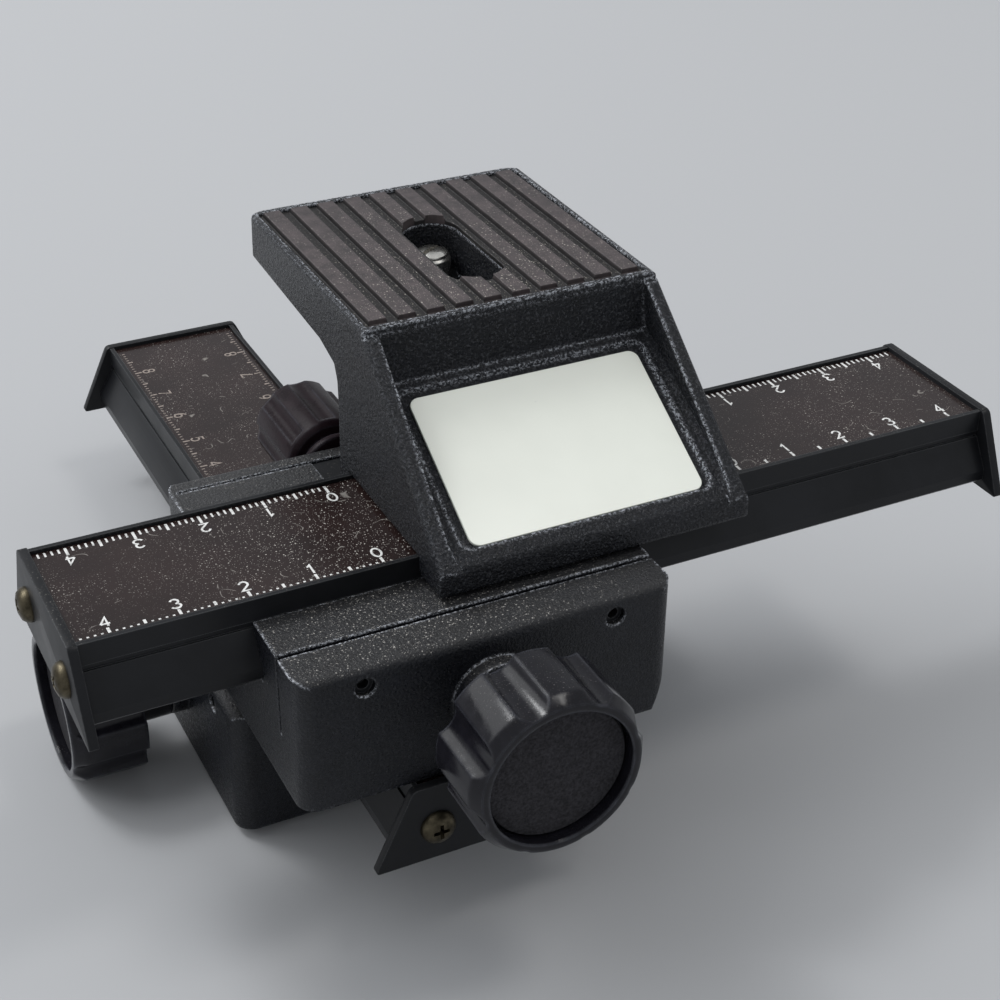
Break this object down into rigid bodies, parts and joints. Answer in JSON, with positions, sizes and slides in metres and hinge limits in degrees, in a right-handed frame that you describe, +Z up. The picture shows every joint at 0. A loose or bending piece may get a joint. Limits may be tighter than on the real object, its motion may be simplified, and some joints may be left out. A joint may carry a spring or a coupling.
{
  "type": "macro focusing rail",
  "caption": "Two-axis macro focusing rail: crossed rack-driven dovetail slides with drive and lock knobs, a tripod socket and a camera platform.",
  "frame": {"origin": "mouth of the tripod socket, on its axis, at the underside of the foot", "axes": "+Z up out of the foot towards the camera platform, +X to the right along the upper bar, +Y away from the user along the lower bar"},
  "size_m": [0.1564, 0.1734, 0.0796],
  "materials": {
    "cast_black": "satin",
    "hammer_black": "gloss",
    "anodised_black": "satin",
    "scale_lacquer": "gloss",
    "plate_black": "satin",
    "screw_bronze": "satin",
    "gloss_knob": "gloss",
    "matte_disc": "matte",
    "rubber": "matte",
    "badge_white": "satin",
    "brass": "satin",
    "bright_steel": "satin",
    "steel": "satin"
  },
  "bodies": {
    "lower_carriage": {"lower_carriage": "cast_black", "tripod_bush": "brass", "lower_gib_screws": "steel", "lower_shaft_bushes": "brass", "lower_lock_washer": "bright_steel"},
    "lower_drive": {"lower_drive_shaft": "steel", "lower_pinion": "steel", "lower_drive_knob": "gloss_knob", "lower_knob_disc": "matte_disc"},
    "lower_brake": {"lower_brake_shoe": "steel"},
    "lower_lock": {"lower_lock_screw": "steel", "lower_lock_knob": "gloss_knob"},
    "lower_slide": {"lower_bar": "anodised_black", "lower_scale_plate": "scale_lacquer", "lower_rack": "steel", "lower_rack_screws": "steel", "lower_end_plate_front": "plate_black", "lower_end_plate_rear": "plate_black", "lower_end_screws_front": "screw_bronze", "lower_end_screws_rear": "screw_bronze", "upper_carriage": "cast_black", "carriage_screws": "steel", "upper_gib_screws": "steel", "upper_shaft_bushes": "brass", "upper_lock_washer": "bright_steel"},
    "upper_drive": {"upper_drive_shaft": "steel", "upper_pinion": "steel", "upper_drive_knob": "gloss_knob", "upper_knob_disc": "matte_disc"},
    "upper_brake": {"upper_brake_shoe": "steel"},
    "upper_lock": {"upper_lock_screw": "steel", "upper_lock_knob": "gloss_knob"},
    "upper_slide": {"upper_bar": "anodised_black", "upper_scale_plate": "scale_lacquer", "upper_rack": "steel", "upper_rack_screws": "steel", "upper_end_plate_left": "plate_black", "upper_end_plate_right": "plate_black", "upper_end_screws_left": "screw_bronze", "upper_end_screws_right": "screw_bronze", "camera_platform": "hammer_black", "platform_screws": "steel", "rubber_pad": "rubber", "badge_plate": "badge_white"},
    "camera_bush": {"slot_bush": "brass"},
    "camera_washer": {"screw_washer": "bright_steel"},
    "camera_screw": {"camera_screw": "steel", "camera_screw_knob": "gloss_knob"}
  },
  "joints": [
    {"name": "lower_bar_slide", "type": "slide", "parent": "lower_carriage", "child": "lower_slide", "axis": [0, 1, 0], "range_m": [-0.0623, 0.0291]},
    {"name": "lower_drive_turn", "type": "hinge", "parent": "lower_carriage", "child": "lower_drive", "pos_m": [-0.0446, 0, 0.0134], "axis": [1, 0, 0], "range_deg": [-420, 900]},
    {"name": "lower_lock_press", "type": "slide", "parent": "lower_carriage", "child": "lower_brake", "axis": [-1, 0, 0], "range_m": [0, 0.0002]},
    {"name": "lower_lock_turn", "type": "hinge", "parent": "lower_brake", "child": "lower_lock", "pos_m": [0.038, 0, 0.0191], "axis": [-1, 0, 0], "range_deg": [0, 90]},
    {"name": "upper_bar_slide", "type": "slide", "parent": "lower_slide", "child": "upper_slide", "axis": [1, 0, 0], "range_m": [-0.0672, 0.0242]},
    {"name": "upper_drive_turn", "type": "hinge", "parent": "lower_slide", "child": "upper_drive", "pos_m": [0, -0.0726, 0.0392], "axis": [0, 1, 0], "range_deg": [-970, 350]},
    {"name": "upper_lock_press", "type": "slide", "parent": "lower_slide", "child": "upper_brake", "axis": [0, -1, 0], "range_m": [0, 0.0002]},
    {"name": "upper_lock_turn", "type": "hinge", "parent": "upper_brake", "child": "upper_lock", "pos_m": [0, 0.01, 0.0449], "axis": [0, -1, 0], "range_deg": [0, 90]},
    {"name": "camera_screw_place", "type": "slide", "parent": "upper_slide", "child": "camera_bush", "axis": [0, 1, 0], "range_m": [-0.0133, 0]},
    {"name": "camera_screw_lift", "type": "slide", "parent": "camera_bush", "child": "camera_washer", "axis": [0, 0, 1], "range_m": [0, 0.009]},
    {"name": "camera_screw_turn", "type": "hinge", "parent": "camera_washer", "child": "camera_screw", "pos_m": [0.0215, 0.0098, 0.0556], "axis": [0, 0, 1], "continuous": true}
  ],
  "couplings": [
    {"joint": "upper_drive_turn", "follows": "upper_bar_slide", "rad_per_m": 250},
    {"joint": "lower_drive_turn", "follows": "lower_bar_slide", "rad_per_m": -250},
    {"joint": "upper_lock_turn", "follows": "upper_lock_press", "rad_per_m": 7850},
    {"joint": "lower_lock_turn", "follows": "lower_lock_press", "rad_per_m": 7850}
  ]
}
